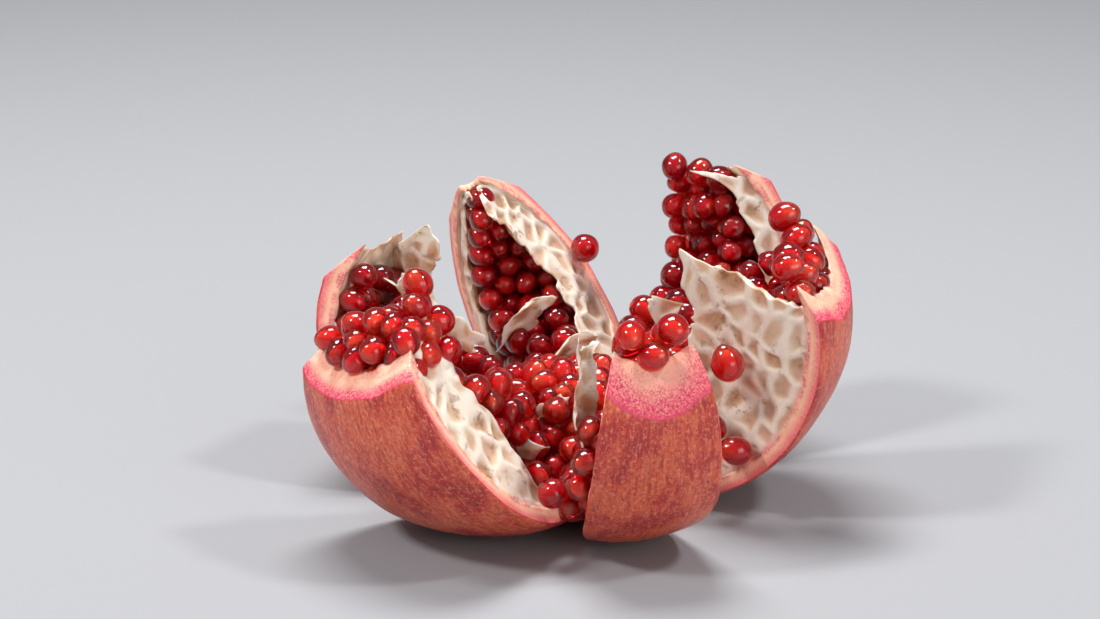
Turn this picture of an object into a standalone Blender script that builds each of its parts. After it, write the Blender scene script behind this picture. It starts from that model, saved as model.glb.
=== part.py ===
"""Open pomegranate: a husk scored into six segments that stay joined at the stem end and lean
outwards like petals, the aril mass that fills each segment, the aril mound of the lower chambers
in the middle, and single arils that lie loose. Metres, +Z up, standing on z = 0."""

import math

import bmesh
import bpy
from mathutils import Matrix, Vector
from mathutils.bvhtree import BVHTree

MM = 0.001

# Driving dimensions of the closed fruit.
EQUATOR_RADIUS = 46 * MM
POLAR_RADIUS = 43 * MM
RIND = 3.9 * MM  # skin and pith together
WALL = 2.2 * MM  # a membrane standing on a cut face
GAP = 0.4 * MM  # free space between neighbouring pieces
HINGE = 7 * MM  # the segments bend outwards this far from the stem
BASE_DROP = 2.6 * MM  # the stem end sits this far below the hinge level
BEND_START = math.radians(9)
BEND_END = math.radians(28)
FIRST_RING = math.radians(6)
FLOOR = -4.3 * MM  # the table, from the hinge level
PRESSED_FLAT = 0.35 * MM  # how far the rind flattens where it rests
BASE_ANGLE = math.radians(12)
BASE_THICKNESS = 5.5 * MM
STEM_RADIUS = 3.2 * MM
STEM_LENGTH = 1.2 * MM

# Mesh density.
HUSK_RINGS = 16
SKIN_STEPS = 8
MASS_RINGS = 15
MASS_STEPS = 22
MOUND_RINGS = 12
MOUND_STEPS = 28

# Each segment: azimuth of its middle, half its width, outward tilt and sideways roll in degrees,
# shift in mm, size against the driving dimensions, the angle from the stem to the crown cut, and
# that cut's slope. A wall is a membrane left on a cut face: side (+1 anticlockwise seen from
# above), start and end angles from the stem, depth below the skin in mm.
SEGMENTS = {
    "front_left": {
        "azimuth": -136.6, "half": 32.0, "tilt": 40.5, "roll": 10.3, "shift": (4.2, -3.3, 3.5),
        "size": 1.01, "crown": 125, "slope": 12, "walls": ((1, 44, 124, 19), (-1, 50, 124, 7)),
    },
    "front": {
        "azimuth": -76.0, "half": 20.4, "tilt": 31.5, "roll": 2.6, "shift": (0.5, 0.2, -1.2),
        "size": 0.93, "crown": 122, "slope": 34, "walls": ((1, 40, 118, 14), (-1, 84, 130, 13)),
    },
    "right": {
        "azimuth": -9.1, "half": 26.0, "tilt": 14.7, "roll": 9.8, "shift": (-2.2, 7.7, -3.4),
        "size": 1.10, "crown": 108, "slope": 34, "walls": ((-1, 34, 150, 31), (1, 40, 100, 8)),
    },
    "back_right": {
        "azimuth": 43.6, "half": 22.6, "tilt": 15.7, "roll": -8.5, "shift": (0.6, 0.6, -1.6),
        "size": 1.05, "crown": 133, "slope": 14, "walls": ((-1, 40, 150, 11), (1, 26, 66, 22)),
    },
    "back_left": {
        "azimuth": 95.1, "half": 24.5, "tilt": 30.6, "roll": -25.1, "shift": (0.7, -0.8, 1.6),
        "size": 0.93, "crown": 146, "slope": 8, "walls": ((1, 40, 150, 8), (-1, 36, 150, 16)),
    },
    "left": {
        "azimuth": 154.7, "half": 30.4, "tilt": 32.6, "roll": 2.9, "shift": (-4.4, -4.5, -1.0),
        "size": 0.92, "crown": 131, "slope": 14, "walls": ((-1, 60, 150, 20), (1, 50, 120, 8)),
    },
}
WALL_RAMP = math.radians(16)
SMALLEST_WALL = RIND + 0.8 * MM

# The aril mass of each segment: angles from the stem where it starts and ends, and how deep
# below the skin it reaches in mm.
MASSES = {
    "front_left": ((34, 140), 36),
    "front": ((32, 140), 34),
    "right": ((32, 134), 34),
    "back_right": ((34, 146), 35),
    "back_left": ((34, 150), 24),
    "left": ((34, 146), 27),
}
MASS_SQUARENESS = 0.6
MASS_LUMPS = 0.035
# The mound of the lower chambers, from the hinge level in mm.
MOUND_HEART = (-5, 0, 9)
MOUND_REACH = 21
MOUND_TOP = 13
MOUND_DEPTH = 5.5
MOUND_CLEARANCE = 1.2 * MM

# A single aril, and where the loose ones lie: the place each starts from in mm above the hinge
# level, the way it settles, and the azimuth and elevation of its pointed end in degrees.
ARIL_LENGTH = 9.5 * MM
ARIL_WIDTH = 7 * MM
LOOSE = (
    ("aril_on_membrane", (25.5, -28, 35.5), (0.57, 0.82, 0), (-100, 15)),
    ("aril_right_foot", (30, -24, 14.5), (0.57, 0.82, -0.2), (160, -10)),
    ("aril_right_heel", (25, -19, 19), (0.57, 0.82, -0.1), (120, 30)),
    ("aril_front_left_foot", (-9.5, -46, 12.7), (-0.97, 0.25, -0.3), (175, 5)),
    ("aril_back", (3, 52, 41), (-0.94, 0.33, -0.1), (60, 10)),
    ("aril_mound_left", (-18, -6, 50), (0, 0, -1), (200, 35)),
    ("aril_mound_right", (6, -3, 50), (0, 0, -1), (20, 40)),
    ("aril_mound_front", (-7, -12, 50), (0, 0, -1), (-80, 50)),
    ("aril_mound_back", (-4, 12, 50), (0, 0, -1), (95, 30)),
)
SETTLE_STEP = 0.2 * MM
SETTLE_STEPS = 400


def make_material(name, colour, roughness):
    material = bpy.data.materials.new(name)
    material.use_nodes = True
    shader = material.node_tree.nodes["Principled BSDF"]
    shader.inputs["Base Color"].default_value = (*colour, 1.0)
    shader.inputs["Roughness"].default_value = roughness
    shader.inputs["Metallic"].default_value = 0.0
    return material


def smooth_step(value):
    value = min(1.0, max(0.0, value))
    return value * value * (3 - 2 * value)


def place(segment, angle, side, depth):
    """Where a point of the closed fruit goes once it is opened: its angle from the stem, its
    longitude from the segment's middle and its depth below the skin."""
    size = segment["size"]
    radius = EQUATOR_RADIUS * size - depth
    height = POLAR_RADIUS * size - (POLAR_RADIUS * size - depth) * math.cos(angle)
    closed = Vector((
        radius * math.sin(angle) * math.cos(side),
        radius * math.sin(angle) * math.sin(side),
        height,
    ))
    azimuth = Matrix.Rotation(math.radians(segment["azimuth"]), 3, "Z")
    tilt = Matrix.Rotation(math.radians(segment["tilt"]), 3, "Y")
    roll = Matrix.Rotation(math.radians(segment["roll"]), 3, "X")
    hinge = Vector((HINGE, 0, 0))
    opened = azimuth @ roll @ (tilt @ (closed - hinge) + hinge)
    opened += Vector(segment["shift"]) * MM
    base = azimuth @ closed - Vector((0, 0, BASE_DROP))
    share = smooth_step((angle - BEND_START) / (BEND_END - BEND_START))
    return base.lerp(opened, share) - Vector((0, 0, FLOOR))


def crown_angle(segment, side, depth):
    """The angle from the stem where the flat crown cut meets this longitude and depth."""
    slope = math.radians(segment["slope"])
    crown = math.radians(segment["crown"])
    size = segment["size"]
    level = EQUATOR_RADIUS * size * math.sin(crown) * math.sin(slope)
    level -= POLAR_RADIUS * size * math.cos(crown) * math.cos(slope)
    outward = (EQUATOR_RADIUS * size - depth) * math.sin(slope) * math.cos(side)
    upward = (POLAR_RADIUS * size - depth) * math.cos(slope)
    reach = min(0.999, level / math.hypot(outward, upward))
    return math.atan2(upward, outward) + math.asin(reach)


def wall_depth(segment, side_sign, angle):
    """How deep the membrane on one cut face reaches at this angle from the stem."""
    depth = SMALLEST_WALL
    for sign, start, end, reach in segment["walls"]:
        if sign == side_sign:
            rise = smooth_step((angle - math.radians(start)) / WALL_RAMP)
            fall = smooth_step((math.radians(end) - angle) / WALL_RAMP)
            depth += (reach * MM - SMALLEST_WALL) * rise * fall
    return depth


def inward(segment, angle, depth, distance):
    """A distance in from a cut face, as longitude."""
    radius = (EQUATOR_RADIUS * segment["size"] - depth) * math.sin(angle)
    return min(math.radians(segment["half"]) / 2, distance / radius)


def husk_section(segment, share):
    """One section of a segment's husk: skin, cut face, membrane, inner wall, membrane, cut face."""
    half = math.radians(segment["half"])
    middle = FIRST_RING + (crown_angle(segment, 0, 0) - FIRST_RING) * share
    outline = []
    for step in range(SKIN_STEPS + 1):
        outline.append((half * (2 * step / SKIN_STEPS - 1), 0.0))
    arms = {}
    for sign in (1, -1):
        deep = wall_depth(segment, sign, middle)
        depths = (RIND, (RIND + deep) / 2, deep)
        arms[sign] = [(sign * half, depth) for depth in depths]
        for depth in depths[:0:-1]:
            arms[sign].append((sign * (half - inward(segment, middle, depth, WALL)), depth))
    outline += arms[1]
    edge = half - inward(segment, middle, RIND, WALL)
    for step in range(SKIN_STEPS - 1):
        outline.append((edge * (1 - 2 * step / (SKIN_STEPS - 2)), RIND))
    outline += reversed(arms[-1])
    ring = []
    for side, depth in outline:
        angle = FIRST_RING + (crown_angle(segment, side, depth) - FIRST_RING) * share
        ring.append(place(segment, angle, side, depth))
    return ring


def husk_end():
    """The faces that close a husk section, as indices round it: rind, corners and membranes."""
    last = SKIN_STEPS
    cut, tip, inner, floor = last + 1, last + 3, last + 5, last + 6
    faces = [(last - 1, last, cut, floor), (cut, cut + 1, inner, floor)]
    faces.append((cut + 1, tip, tip + 1, inner))
    for step in range(1, last - 1):
        faces.append((step, step + 1, floor + last - 2 - step, floor + last - 1 - step))
    far = floor + last - 2
    total = far + 6
    faces += [(0, 1, far, total - 1), (total - 1, far, far + 1, total - 2)]
    faces.append((total - 2, far + 1, far + 2, total - 3))
    return faces


def mass_section(segment, angles, reach, share):
    """One section of an aril mass, rounded off towards both ends."""
    start, end = (math.radians(angle) for angle in angles)
    middle = start + (end - start) * share
    swell = max(0.12, math.sin(math.pi * min(1.0, max(0.0, share)))) ** 0.45
    half = math.radians(segment["half"])
    top = RIND + GAP
    bottom = top + (reach * MM - top) * swell
    ring = []
    for step in range(MASS_STEPS):
        turn = 2 * math.pi * step / MASS_STEPS
        across = math.copysign(abs(math.cos(turn)) ** MASS_SQUARENESS, math.cos(turn))
        down = math.copysign(abs(math.sin(turn)) ** MASS_SQUARENESS, math.sin(turn))
        depth = (top + bottom) / 2 + (bottom - top) / 2 * down
        lump = 1 + MASS_LUMPS * ((-1) ** step - 1) / 2
        bound = half - inward(segment, middle, depth, WALL + GAP)
        side = across * bound * (0.35 + 0.65 * swell) * lump
        ring.append(place(segment, middle, side, depth))
    return ring


def closed_tube(rings, end=None):
    """A closed body from rings of equal length. Its ends are one face each or the faces given."""
    mesh = bmesh.new()
    grid = [[mesh.verts.new(point) for point in ring] for ring in rings]
    count = len(grid[0])
    for lower, upper in zip(grid, grid[1:]):
        for step in range(count):
            following = (step + 1) % count
            mesh.faces.new((lower[step], lower[following], upper[following], upper[step]))
    for face in end or [tuple(range(count))]:
        mesh.faces.new([grid[0][index] for index in reversed(face)])
        mesh.faces.new([grid[-1][index] for index in face])
    bmesh.ops.triangulate(mesh, faces=mesh.faces, ngon_method="EAR_CLIP")
    bmesh.ops.recalc_face_normals(mesh, faces=mesh.faces)
    return mesh


def add_object(name, mesh, material=None):
    data = bpy.data.meshes.new(name)
    mesh.to_mesh(data)
    mesh.free()
    if material:
        data.materials.append(material)
    for face in data.polygons:
        face.use_smooth = True
    thing = bpy.data.objects.new(name, data)
    bpy.context.scene.collection.objects.link(thing)
    return thing


def husk_segment(name):
    segment = SEGMENTS[name]
    rings = [husk_section(segment, ring / HUSK_RINGS) for ring in range(HUSK_RINGS + 1)]
    return add_object(name + "_blank", closed_tube(rings, husk_end()))


def combine(target, other, operation):
    """Boolean the other object into the target, then take the other away."""
    modifier = target.modifiers.new(operation.lower(), "BOOLEAN")
    modifier.operation = operation
    modifier.solver = "EXACT"
    modifier.object = other
    bpy.context.view_layer.update()
    graph = bpy.context.evaluated_depsgraph_get()
    data = bpy.data.meshes.new_from_object(target.evaluated_get(graph))
    target.modifiers.clear()
    old = target.data
    target.data = data
    bpy.data.meshes.remove(old)
    bpy.data.objects.remove(other, do_unlink=True)


def tidy(thing, name, material):
    """Triangulate and name the finished body."""
    mesh = bmesh.new()
    mesh.from_mesh(thing.data)
    bmesh.ops.triangulate(mesh, faces=mesh.faces, ngon_method="EAR_CLIP")
    bpy.data.objects.remove(thing, do_unlink=True)
    return add_object(name, mesh, material)


def tree_of(things):
    """One search tree over the faces of several objects."""
    points = []
    faces = []
    for thing in things:
        first = len(points)
        points += [vertex.co.copy() for vertex in thing.data.vertices]
        faces += [[first + index for index in face.vertices] for face in thing.data.polygons]
    return BVHTree.FromPolygons(points, faces)


def aril_mass(name, material):
    """The arils of one segment as one body that keeps clear of the rind and its membranes."""
    segment = SEGMENTS[name]
    angles, reach = MASSES[name]
    rings = []
    for ring in range(MASS_RINGS + 1):
        rings.append(mass_section(segment, angles, reach, ring / MASS_RINGS))
    return add_object("arils_" + name, closed_tube(rings), material)


def base_blank():
    """The stem end that joins the segments, with the stub of the stem below it."""
    low = FLOOR * -1 - BASE_DROP
    profile = [(STEM_RADIUS * 0.8, low - STEM_LENGTH), (STEM_RADIUS, low - STEM_LENGTH * 0.3)]
    for step in range(4):
        angle = BASE_ANGLE * (0.42 + 0.58 * step / 3)
        lift = POLAR_RADIUS * (1 - math.cos(angle)) + 0.25 * MM
        profile.append((EQUATOR_RADIUS * math.sin(angle), low + lift))
    profile.append((EQUATOR_RADIUS * math.sin(BASE_ANGLE) * 0.9, low + BASE_THICKNESS))
    profile.append((EQUATOR_RADIUS * math.sin(BASE_ANGLE) * 0.4, low + BASE_THICKNESS * 1.05))
    rings = []
    for radius, height in profile:
        ring = []
        for step in range(24):
            turn = 2 * math.pi * step / 24
            ring.append(Vector((radius * math.cos(turn), radius * math.sin(turn), height)))
        rings.append(ring)
    return add_object("base_blank", closed_tube(rings))


def make_husk(material):
    husk = husk_segment("front_left")
    for name in list(SEGMENTS)[1:]:
        combine(husk, husk_segment(name), "UNION")
    combine(husk, base_blank(), "UNION")
    table = bmesh.new()
    bmesh.ops.create_cube(table, size=0.4)
    bmesh.ops.translate(table, verts=table.verts, vec=(0, 0, PRESSED_FLAT - 0.2))
    combine(husk, add_object("table_cutter", table), "DIFFERENCE")
    return tidy(husk, "husk", material)


def make_mound(others, material):
    """The lower chambers' arils: a lumpy mound that stops short of every piece round it."""
    tree = tree_of(others)
    heart = Vector(MOUND_HEART) * MM - Vector((0, 0, FLOOR))
    reach = {}
    for ring in range(MOUND_RINGS + 1):
        for step in range(MOUND_STEPS):
            rise = math.pi * (ring + 0.35) / (MOUND_RINGS + 0.7) - math.pi / 2
            turn = 2 * math.pi * step / MOUND_STEPS
            way = Vector((
                math.cos(rise) * math.cos(turn),
                math.cos(rise) * math.sin(turn),
                math.sin(rise),
            ))
            height = MOUND_TOP if rise > 0 else MOUND_DEPTH
            free = 1 / math.hypot(math.cos(rise) / MOUND_REACH, math.sin(rise) / height) * MM
            hit = tree.ray_cast(heart, way)
            length = free if hit[3] is None else min(free, hit[3])
            nearest = tree.find_nearest(heart + way * (length - MOUND_CLEARANCE))
            while nearest[3] < MOUND_CLEARANCE and length > 3 * MM:
                length -= 0.3 * MM
                nearest = tree.find_nearest(heart + way * (length - MOUND_CLEARANCE))
            lump = 1 + MASS_LUMPS * ((-1) ** (ring + step) - 1) / 2
            reach[ring, step] = (way, (length - MOUND_CLEARANCE) * lump)
    rings = []
    for ring in range(MOUND_RINGS + 1):
        points = []
        for step in range(MOUND_STEPS):
            way, length = reach[ring, step]
            sides = [reach[ring, (step + turn) % MOUND_STEPS][1] for turn in (-1, 1)]
            points.append(heart + way * min(length, sum(sides) / 2 + 2 * MM))
        rings.append(points)
    return add_object("arils_centre", closed_tube(rings), material)


def aril_mesh(way):
    """A faceted drop with its pointed end along the way given, centred on the origin."""
    profile = ((-0.5, 0.28), (-0.42, 0.72), (-0.2, 1.0), (0.08, 0.94), (0.32, 0.6), (0.5, 0.2))
    azimuth, elevation = (math.radians(value) for value in way)
    turn = Matrix.Rotation(azimuth, 3, "Z") @ Matrix.Rotation(-elevation, 3, "Y")
    rings = []
    for along, width in profile:
        ring = []
        for step in range(8):
            angle = 2 * math.pi * step / 8
            flat = 0.94 if step % 2 else 1.0
            point = Vector((
                along * ARIL_LENGTH,
                math.cos(angle) * width * flat * ARIL_WIDTH / 2,
                math.sin(angle) * width * flat * ARIL_WIDTH / 2,
            ))
            ring.append(turn @ point)
        rings.append(ring)
    return closed_tube(rings)


def settle(name, start, direction, way, others, material):
    """Move an aril along a direction until it is about to touch the pieces there already."""
    tree = tree_of(others)
    mesh = aril_mesh(way)
    grown = mesh.copy()
    bmesh.ops.scale(grown, verts=grown.verts, vec=(1.09, 1.09, 1.09))
    start = Vector(start) * MM - Vector((0, 0, FLOOR))
    step = Vector(direction).normalized() * SETTLE_STEP
    bmesh.ops.translate(grown, verts=grown.verts, vec=start)
    travel = 0
    while travel < SETTLE_STEPS and not BVHTree.FromBMesh(grown).overlap(tree):
        bmesh.ops.translate(grown, verts=grown.verts, vec=step)
        travel += 1
    grown.free()
    bmesh.ops.translate(mesh, verts=mesh.verts, vec=start + step * (travel - 1))
    return add_object(name, mesh, material)


def centre_on_floor(things):
    """Bring the middle of the box round everything to the origin, standing on z = 0."""
    points = [vertex.co for thing in things for vertex in thing.data.vertices]
    middle = [(max(p[axis] for p in points) + min(p[axis] for p in points)) / 2 for axis in (0, 1)]
    low = min(point.z for point in points)
    for thing in things:
        thing.data.transform(Matrix.Translation((-middle[0], -middle[1], -low)))


def main():
    for thing in list(bpy.data.objects):
        bpy.data.objects.remove(thing, do_unlink=True)
    rind = make_material("rind", (0.45, 0.07, 0.045), 0.42)
    aril = make_material("aril", (0.38, 0.01, 0.015), 0.12)
    things = [make_husk(rind)]
    for name in SEGMENTS:
        things.append(aril_mass(name, aril))
    things.append(make_mound(things, aril))
    for name, start, direction, way in LOOSE:
        things.append(settle(name, start, direction, way, things, aril))
    centre_on_floor(things)


main()
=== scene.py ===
# Looks of the open pomegranate: mottled rind, cut pith, dimpled membranes and packed glossy arils.
import bpy
import math
import numpy as np
from mathutils.bvhtree import BVHTree
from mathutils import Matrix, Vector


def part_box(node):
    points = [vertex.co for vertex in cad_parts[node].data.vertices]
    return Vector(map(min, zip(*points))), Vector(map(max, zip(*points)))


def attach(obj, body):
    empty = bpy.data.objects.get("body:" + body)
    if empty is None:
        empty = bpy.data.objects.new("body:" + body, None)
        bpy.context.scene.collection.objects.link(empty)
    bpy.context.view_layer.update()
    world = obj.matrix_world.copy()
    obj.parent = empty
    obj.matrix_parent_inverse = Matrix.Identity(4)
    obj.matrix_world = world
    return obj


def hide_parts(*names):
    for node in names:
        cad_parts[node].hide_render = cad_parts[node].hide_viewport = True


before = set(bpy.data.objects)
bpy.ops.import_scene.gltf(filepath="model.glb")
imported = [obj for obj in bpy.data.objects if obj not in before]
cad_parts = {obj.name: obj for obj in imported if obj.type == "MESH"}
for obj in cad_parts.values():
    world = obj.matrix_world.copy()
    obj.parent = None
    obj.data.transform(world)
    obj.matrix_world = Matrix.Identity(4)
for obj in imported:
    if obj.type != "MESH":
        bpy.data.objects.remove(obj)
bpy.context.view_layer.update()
print("frame loaded")

fruit = {                      # the closed fruit, in mm
    "equator": 46.0,           # radius across
    "polar": 43.0,             # radius along the stem axis
    "rind": 3.5,               # skin and pith at the sides
    "rindAtCrown": 5.2,        # the pith thickens towards the crown
    "hinge": 7.0,              # the segments bend outwards this far from the stem
    "baseDrop": 2.6,           # the stem end sits this far below the hinge level
    "heart": (3.29, 1.2, 3.95),   # the hinge level's middle in the row frame
    "bend": (9.0, 28.0),       # degrees from the stem over which a segment bends outwards
    "firstRing": 5.0,          # degrees from the stem where the segments start
}

# A membrane is (side, start and end in degrees from the stem, ramps at both ends in degrees,
# depth below the skin in mm); side +1 is anticlockwise seen from above.
segments = {
    "front_left": {
        "azimuth": -136.6, "half": 32.0, "tilt": 40.5, "roll": 10.3, "shift": (4.2, -3.3, 3.5),
        "size": 1.01, "crown": 125.4, "slope": 10.0, "seed": 1,
        "membranes": ((1, 40, 134, 34, 18, 21.0), (-1, 50, 124, 16, 16, 6.5)),
    },
    "front": {
        "azimuth": -76.0, "half": 20.4, "tilt": 31.5, "roll": 2.6, "shift": (0.5, 0.2, -1.2),
        "size": 0.93, "crown": 121.5, "slope": 36.0, "seed": 2,
        "membranes": ((1, 40, 118, 16, 16, 13.0), (-1, 86, 142, 24, 8, 11.0)),
    },
    "right": {
        "azimuth": -9.1, "half": 26.0, "tilt": 14.7, "roll": 9.8, "shift": (-2.2, 7.7, -3.4),
        "size": 1.10, "crown": 108.0, "slope": 34.0, "seed": 3,
        "membranes": ((-1, 26, 148, 18, 60, 34.0), (1, 40, 100, 16, 16, 8.0)),
    },
    "back_right": {
        "azimuth": 43.6, "half": 22.6, "tilt": 15.7, "roll": -8.5, "shift": (0.6, 0.6, -1.6),
        "size": 1.05, "crown": 128.0, "slope": 14.0, "seed": 4,
        "membranes": ((-1, 50, 160, 20, 14, 11.5), (-1, 30, 74, 14, 16, 38.0),
                      (1, 26, 66, 16, 16, 22.0)),
    },
    "back_left": {
        "azimuth": 95.1, "half": 24.5, "tilt": 30.6, "roll": -25.1, "shift": (0.7, -0.8, 1.6),
        "size": 0.93, "crown": 146.0, "slope": 8.0, "seed": 5,
        "membranes": ((1, 30, 165, 20, 14, 8.0), (-1, 30, 165, 30, 14, 17.0)),
    },
    "left": {
        "azimuth": 154.7, "half": 30.4, "tilt": 32.6, "roll": 2.9, "shift": (-4.4, -4.5, -1.0),
        "size": 0.92, "crown": 131.0, "slope": 14.0, "seed": 6,
        "membranes": ((-1, 56, 160, 24, 12, 18.0), (1, 50, 120, 16, 16, 7.0)),
    },
}


def smoothStep(value, low=0.0, high=1.0):
    share = np.clip((value - low) / (high - low), 0.0, 1.0)
    return share * share * (3.0 - 2.0 * share)


def turned(points, axis, degrees):        # rotates points about one of the three axes
    angle = math.radians(degrees)
    first, second = [(1, 2), (2, 0), (0, 1)][axis]
    out = points.copy()
    out[..., first] = points[..., first] * math.cos(angle) - points[..., second] * math.sin(angle)
    out[..., second] = points[..., first] * math.sin(angle) + points[..., second] * math.cos(angle)
    return out


def closedPoint(seg, t, lam, depth):
    # on the closed fruit: a spheroid shrunk by the depth, read at the angle t from the stem
    # and the longitude lam
    across = fruit["equator"] * seg["size"] - depth
    along = fruit["polar"] * seg["size"]
    return np.stack([
        across * np.sin(t) * np.cos(lam),
        across * np.sin(t) * np.sin(lam),
        along - (along - depth) * np.cos(t),
    ], axis=-1)


def opened(seg, points, t):
    # each segment tilts about its hinge, rolls and shifts; near the stem it blends into the base
    hinge = np.array([fruit["hinge"], 0.0, 0.0])
    out = turned(points - hinge, 1, seg["tilt"]) + hinge
    out = turned(turned(out, 0, seg["roll"]), 2, seg["azimuth"]) + np.array(seg["shift"])
    base = turned(points, 2, seg["azimuth"]) - np.array([0.0, 0.0, fruit["baseDrop"]])
    low, high = (math.radians(value) for value in fruit["bend"])
    share = smoothStep(t, low, high)[..., None]
    return base + (out - base) * share + np.array(fruit["heart"])


def crownAngle(seg, lam, depth):
    # the angle from the stem at which a sloping plane meets the shrunk spheroid
    slope = math.radians(seg["slope"])
    crown = math.radians(seg["crown"])
    across = fruit["equator"] * seg["size"]
    along = fruit["polar"] * seg["size"]
    level = across * math.sin(crown) * math.sin(slope) - along * math.cos(crown) * math.cos(slope)
    outward = (across - depth) * math.sin(slope) * np.cos(lam)
    upward = (along - depth) * math.cos(slope)
    return np.arctan2(upward, outward) + np.arcsin(np.minimum(0.999, level / np.hypot(outward, upward)))


def levelAngle(seg, depth):
    # the angle from the stem at which the level plane through the cut face's top corner meets
    # the shrunk spheroid
    corner = crownAngle(seg, math.radians(seg["half"]), 0.0)
    level = -math.cos(corner) * fruit["polar"] * seg["size"]
    return np.arccos(-np.minimum(0.99, level / (fruit["polar"] * seg["size"] - depth)))


def latticeNoise(points, size, seed):
    # random values on a cubic lattice of the given size in mm, blended smoothly, from -1 to 1
    scaled = points / size
    cell = np.floor(scaled).astype(np.int64)
    part = scaled - cell
    part = part * part * (3.0 - 2.0 * part)
    total = 0.0
    for corner in np.ndindex(2, 2, 2):
        at = cell + np.array(corner)
        mixed = (at[..., 0] * 374761393 + at[..., 1] * 668265263 + at[..., 2] * 1103515245
                 + seed * 974634777) & 0xFFFFFFFF
        mixed = ((mixed ^ (mixed >> 13)) * 1274126177) & 0xFFFFFFFF
        value = ((mixed ^ (mixed >> 16)) & 0xFFFF) / 32767.5 - 1.0
        weight = np.prod(np.where(np.array(corner) == 1, part, 1.0 - part), axis=-1)
        total = total + value * weight
    return total


def roughNoise(points, size, seed, octaves=3):
    total = 0.0
    for octave in range(octaves):
        total = total + latticeNoise(points, size / 2.0 ** octave, seed + octave) / 2.0 ** octave
    return total


def cellHollows(plane, size, seed):
    # staggered, jittered cells of the given size: from the gap between the nearest two cell
    # centres, 0 on the ridge between two cells and up to 1 in the middle of the deeper cells
    scaled = plane / size
    cell = np.floor(scaled).astype(np.int64)
    nearest = np.full(plane.shape[:-1], 9.0)
    second = np.full(plane.shape[:-1], 9.0)
    own = np.zeros(plane.shape[:-1])
    for step in np.ndindex(5, 5):
        at = cell + np.array(step) - 2
        mixed = (at[..., 0] * 374761393 + at[..., 1] * 668265263 + seed * 974634777) & 0xFFFFFFFF
        mixed = ((mixed ^ (mixed >> 13)) * 1274126177) & 0xFFFFFFFF
        jitter = np.stack([(mixed >> 4) & 0xFF, (mixed >> 14) & 0xFF], axis=-1) / 255.0
        stagger = np.stack([0.5 * (at[..., 1] % 2), 0.0 * at[..., 1]], axis=-1)
        gap = np.linalg.norm(scaled - at - 0.14 - 0.72 * jitter - stagger, axis=-1)
        own = np.where(gap < nearest, ((mixed >> 22) & 0xFF) / 255.0, own)
        second = np.minimum(second, np.maximum(nearest, gap))
        nearest = np.minimum(nearest, gap)
    return smoothStep((second - nearest) * 1.45) * (0.55 + 0.45 * own)


def closedBlock(counts, shape, inverted=False):
    # the six sides of a block of three parameters from 0 to 1, welded along their edges;
    # shape turns the parameters into points and the attributes that the finishes read
    lattice = np.stack(np.meshgrid(*[np.linspace(0.0, 1.0, n + 1) for n in counts], indexing="ij"), -1)
    edge = np.zeros(lattice.shape[:3], bool)
    for axis in range(3):
        picked = [slice(None)] * 3
        for end in (0, -1):
            picked[axis] = end
            edge[tuple(picked)] = True
    number = np.full(edge.shape, -1)
    number[edge] = np.arange(edge.sum())
    quads = []
    for axis in range(3):
        for end in (0, -1):
            sheet = np.moveaxis(number, axis, 0)[end]
            if axis == 1:
                sheet = sheet.T
            corners = np.stack([sheet[:-1, :-1], sheet[1:, :-1], sheet[1:, 1:], sheet[:-1, 1:]], -1)
            corners = corners.reshape(-1, 4)
            quads.append(corners if end == 0 else corners[:, ::-1])
    quads = np.concatenate(quads)
    points, marks = shape(*np.moveaxis(lattice[edge], -1, 0))
    return {"points": points, "faces": quads[:, ::-1] if inverted else quads, "marks": marks}


def joined(shapes):
    # several shapes as one: their faces are renumbered and their attributes follow on
    starts = np.cumsum([0] + [len(shape["points"]) for shape in shapes[:-1]])
    marks = {}
    for name in shapes[0]["marks"]:
        marks[name] = np.concatenate([shape["marks"][name] for shape in shapes])
    return {
        "points": np.concatenate([shape["points"] for shape in shapes]),
        "faces": np.concatenate([shape["faces"] + start for shape, start in zip(shapes, starts)]),
        "marks": marks,
    }


def makePiece(name, shape, finishes, finishOfFace=None, levels=0):
    # puts points in mm and four-cornered faces into a mesh in metres, with its attributes
    mesh = bpy.data.meshes.new(name)
    points, faces = shape["points"], shape["faces"]
    mesh.vertices.add(len(points))
    mesh.vertices.foreach_set("co", (points * 0.001).astype(np.float32).ravel())
    mesh.loops.add(faces.size)
    mesh.loops.foreach_set("vertex_index", faces.astype(np.int32).ravel())
    mesh.polygons.add(len(faces))
    mesh.polygons.foreach_set("loop_start", np.arange(0, faces.size, 4, dtype=np.int32))
    mesh.polygons.foreach_set("use_smooth", np.ones(len(faces), bool))
    for finish in finishes:
        mesh.materials.append(finish)
    if finishOfFace is not None:
        mesh.polygons.foreach_set("material_index", finishOfFace.astype(np.int32))
    for mark, values in shape["marks"].items():
        kind, field = ("FLOAT", "value") if values.ndim == 1 else ("FLOAT_VECTOR", "vector")
        layer = mesh.attributes.new(mark, kind, "POINT")
        layer.data.foreach_set(field, values.astype(np.float32).ravel())
    mesh.update(calc_edges=True)
    mesh.validate()
    piece = bpy.data.objects.new(name, mesh)
    bpy.context.scene.collection.objects.link(piece)
    if levels:
        smoothing = piece.modifiers.new("smoothing", "SUBSURF")
        smoothing.levels = levels
        smoothing.render_levels = levels
    return piece


def fitPiece(piece, slot, *nodes):
    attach(piece, "root")
    if nodes:
        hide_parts(*nodes)
    return piece


def paint(red, green, blue):              # a screen colour, 0 to 255, as the shader's own values
    screen = np.array([red, green, blue]) / 255.0
    linear = np.where(screen <= 0.04045, screen / 12.92, ((screen + 0.055) / 1.055) ** 2.4)
    return (*[float(value) for value in linear], 1.0)


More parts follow.
